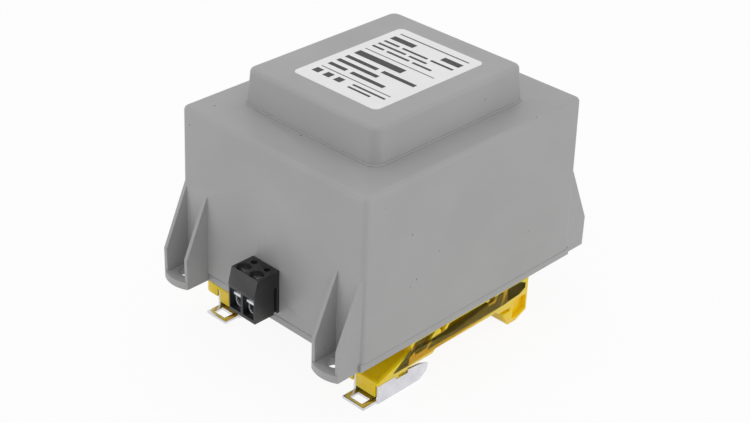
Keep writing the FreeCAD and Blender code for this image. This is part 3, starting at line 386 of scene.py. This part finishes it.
def dress_mouldings():
    dressed("housing", CASE_EDGE)
    dressed("base_plate", PLATE_EDGE)
    for side in ("secondary", "primary"):
        dressed(f"{side}_terminal_housing", BLOCK_EDGE)
        for pole in ("left", "right"):
            dressed(f"{side}_{pole}_clamp_cage", CAGE_EDGE, SMALL_EDGE_STEPS)
            dressed(f"{side}_{pole}_terminal_screw", SCREW_EDGE, SMALL_EDGE_STEPS)
    for foot in ("left", "right"):
        dressed(f"{foot}_rail_foot", FOOT_EDGE)
        dressed(f"{foot}_rail_clip", CLIP_EDGE)


# Thin bead on the shoulder, at the foot of the crown.

BEAD_WIDTH = 0.5 * MM
BEAD_BAND = BEAD_WIDTH * 1.3  # with the part that lies in the crown's wall
BEAD_ROUND = BEAD_WIDTH * 0.4
BEAD_HEIGHT = 0.35 * MM
BEAD_SINK = 0.1 * MM
CORNER_STEPS = 8

# The crown's section at the shoulder, as the housing has it.
CROWN_HALF_WIDTH = 24.56 * MM
CROWN_HALF_LENGTH = 28.81 * MM
CROWN_CORNER = 2.6 * MM
SHOULDER = 50.4 * MM


def make_crown_bead():
    form = bmesh.new()
    bmesh.ops.create_grid(form, x_segments=1, y_segments=1, size=1.0)
    half_sizes = (CROWN_HALF_WIDTH + BEAD_WIDTH, CROWN_HALF_LENGTH + BEAD_WIDTH, 1.0)
    bmesh.ops.scale(form, verts=form.verts, vec=half_sizes)
    bmesh.ops.translate(form, verts=form.verts, vec=(0, 0, SHOULDER - BEAD_SINK))
    bmesh.ops.bevel(form, geom=form.verts[:], offset=CROWN_CORNER + BEAD_WIDTH, segments=CORNER_STEPS,
                    profile=0.5, affect="VERTICES", material=-1)
    inner = form.faces[:]
    bmesh.ops.inset_region(form, faces=inner, thickness=BEAD_BAND, use_boundary=True, use_even_offset=True)
    bmesh.ops.delete(form, geom=inner, context="FACES")
    raised = bmesh.ops.extrude_face_region(form, geom=form.faces[:])["geom"]
    top = [part for part in raised if isinstance(part, bmesh.types.BMVert)]
    bmesh.ops.translate(form, verts=top, vec=(0, 0, BEAD_HEIGHT + BEAD_SINK))
    bmesh.ops.recalc_face_normals(form, faces=form.faces[:])
    crest = [edge for edge in form.edges
             if all(vert.co.z > SHOULDER for vert in edge.verts) and edge.calc_face_angle(0) > SOFT_UNDER]
    bmesh.ops.bevel(form, geom=crest, offset=BEAD_ROUND, segments=EDGE_STEPS, profile=0.5,
                    affect="EDGES", material=-1)
    made = piece(form, "crown_bead", ABS, "housing", stands_for=False)
    made.data.shade_smooth()


# Print on the label: plain rules and bars, as rows of a form.

PRINT_THICKNESS = 0.015 * MM
PRINT_ROWS = (
    # place along Y, thickness, and the start and end of each bar along X, in mm from the label's middle
    (17.6, 0.5, ((-12.6, 12.6),)),
    (14.4, 2.2, ((-12.6, -4.2), (6.0, 12.6))),
    (11.2, 0.9, ((-12.6, -7.0), (-5.8, 3.4), (4.6, 12.6))),
    (8.9, 0.9, ((-12.6, -2.4), (-1.2, 5.2))),
    (6.6, 0.9, ((-12.6, -8.4), (-7.2, 1.0), (2.2, 9.0))),
    (3.8, 0.35, ((-12.6, 12.6),)),
    (0.6, 2.6, ((-12.6, 4.6),)),
    (-3.4, 1.5, ((-12.6, -1.0), (0.8, 12.6))),
    (-6.6, 1.5, ((-12.6, 2.2),)),
    (-9.8, 1.5, ((-12.6, -6.2), (-4.4, 7.6))),
    (-12.6, 0.35, ((-12.6, 12.6),)),
    (-15.2, 2.4, ((-12.6, -10.2), (-8.6, -6.2), (-4.6, -2.2))),
    (-14.6, 0.8, ((1.0, 12.6),)),
    (-16.4, 0.8, ((1.0, 9.0),)),
)


def make_label():
    """The film, thinner than its solid by the thickness of the print, and the print on it."""
    film = bmesh.new()
    film.from_mesh(frame["nodes"]["rating_label"].data)
    bmesh.ops.remove_doubles(film, verts=film.verts, dist=WELD)
    corners = [vert.co.copy() for vert in film.verts]
    middle_x = (min(c.x for c in corners) + max(c.x for c in corners)) / 2
    middle_y = (min(c.y for c in corners) + max(c.y for c in corners)) / 2
    top = max(c.z for c in corners)
    upper = [vert for vert in film.verts if vert.co.z > top - PRINT_THICKNESS]
    bmesh.ops.translate(film, verts=upper, vec=(0, 0, -PRINT_THICKNESS))
    piece(film, "rating_label_finished", FILM, "rating_label")

    ink = bmesh.new()
    for y, thickness, bars in PRINT_ROWS:
        for start, end in bars:
            made = bmesh.ops.create_grid(ink, x_segments=1, y_segments=1, size=0.5)["verts"]
            bmesh.ops.scale(ink, verts=made, vec=((end - start) * MM, thickness * MM, 1.0))
            place = (middle_x + (start + end) / 2 * MM, middle_y + y * MM, top)
            bmesh.ops.translate(ink, verts=made, vec=place)
    piece(ink, "label_print", INK, "rating_label", stands_for=False)


# Stage: camera, table and light tent.

# The camera was solved from the edges of the case in the photograph.
TARGET = Vector((7.2, -9.8, 22.9)) * MM
CAMERA_AZIMUTH = math.radians(43.35)
CAMERA_ELEVATION = math.radians(30.45)
CAMERA_ROLL = math.radians(2.10)
CAMERA_DISTANCE = 432.6 * MM
FOCAL_PIXELS = 1599
PHOTO_WIDTH = 750
SENSOR_WIDTH = 36.0
NEAR_CLIP = 0.01
FAR_CLIP = 20.0


def place_camera():
    lens = bpy.data.cameras.new("camera")
    lens.sensor_width = SENSOR_WIDTH
    lens.lens = FOCAL_PIXELS / PHOTO_WIDTH * SENSOR_WIDTH
    lens.clip_start = NEAR_CLIP
    lens.clip_end = FAR_CLIP
    camera = bpy.data.objects.new("camera", lens)
    bpy.context.scene.collection.objects.link(camera)
    flat = math.cos(CAMERA_ELEVATION)
    back = Vector((math.sin(CAMERA_AZIMUTH) * flat, -math.cos(CAMERA_AZIMUTH) * flat,
                   math.sin(CAMERA_ELEVATION)))
    level = Vector((math.cos(CAMERA_AZIMUTH), math.sin(CAMERA_AZIMUTH), 0.0))
    right = Matrix.Rotation(CAMERA_ROLL, 3, back) @ level
    turn = Matrix((right, back.cross(right), back)).transposed()
    camera.matrix_world = Matrix.Translation(TARGET + back * CAMERA_DISTANCE) @ turn.to_4x4()
    bpy.context.scene.camera = camera


def shown_white(tree, lit, share):
    """Lays plain white over what lights the scene, for rays that see it directly, in a reflection or through
    glass."""
    rays = add(tree, "ShaderNodeLightPath")
    direct = add(tree, "ShaderNodeMath", {"operation": "MAXIMUM"},
                 {0: rays.outputs["Is Camera Ray"], 1: rays.outputs["Is Glossy Ray"]})
    direct = add(tree, "ShaderNodeMath", {"operation": "MAXIMUM"},
                 {0: direct, 1: rays.outputs["Is Transmission Ray"]})
    part = add(tree, "ShaderNodeMath", {"operation": "MULTIPLY", 1: share}, {0: direct})
    white = add(tree, "ShaderNodeEmission", {"Strength": 1.0})
    return add(tree, "ShaderNodeMixShader", links={0: part, 1: lit, 2: white})


TABLE_HALF = 3.0
TABLE_SHOWN_WHITE = 0.92


def make_table():
    form = bmesh.new()
    bmesh.ops.create_grid(form, x_segments=1, y_segments=1, size=TABLE_HALF)
    bmesh.ops.translate(form, verts=form.verts, vec=(0, 0, cad_low.z))
    table = bpy.data.objects.new("table", mesh_of(form, "table"))
    bpy.context.scene.collection.objects.link(table)
    material = bpy.data.materials.new("white_table")
    material.use_nodes = True
    tree = material.node_tree
    tree.nodes.clear()
    coat = add(tree, "ShaderNodeBsdfDiffuse", {"Color": linear("#F6F6F6")})
    add(tree, "ShaderNodeOutputMaterial", links={"Surface": shown_white(tree, coat, TABLE_SHOWN_WHITE)})
    paint(table, material)


TENT_LEVEL = 0.7


def light_tent():
    """An even pale tent, which shows white."""
    world = bpy.data.worlds.new("light_tent")
    bpy.context.scene.world = world
    world.use_nodes = True
    tree = world.node_tree
    tree.nodes.clear()
    cloth = add(tree, "ShaderNodeBackground", {"Strength": TENT_LEVEL, "Color": (1.0, 1.0, 1.0, 1.0)})
    add(tree, "ShaderNodeOutputWorld", links={"Surface": shown_white(tree, cloth, 1.0)})


def soft_box(name, place_mm, aim_mm, size_mm, watts):
    lamp = bpy.data.lights.new(name, "AREA")
    lamp.size = size_mm * MM
    lamp.energy = watts
    box = bpy.data.objects.new(name, lamp)
    bpy.context.scene.collection.objects.link(box)
    place = Vector(place_mm) * MM
    box.location = place
    box.rotation_euler = (Vector(aim_mm) * MM - place).to_track_quat("-Z", "Y").to_euler()


SOFT_BOXES = (
    # name, place, aim and width in mm, and watts
    ("overhead_box", (-60, 60, 520), (0, 0, 30), 420, 0.3),
    ("front_box", (-190, -430, 60), (0, -20, 15), 300, 0.27),
    ("side_box", (430, 170, 60), (20, 0, 15), 300, 0.33),
)


def light_stage():
    light_tent()
    for values in SOFT_BOXES:
        soft_box(*values)


dress_mouldings()
make_crown_bead()
make_label()
place_camera()
make_table()
light_stage()

bpy.context.scene.view_settings.view_transform = "Standard"
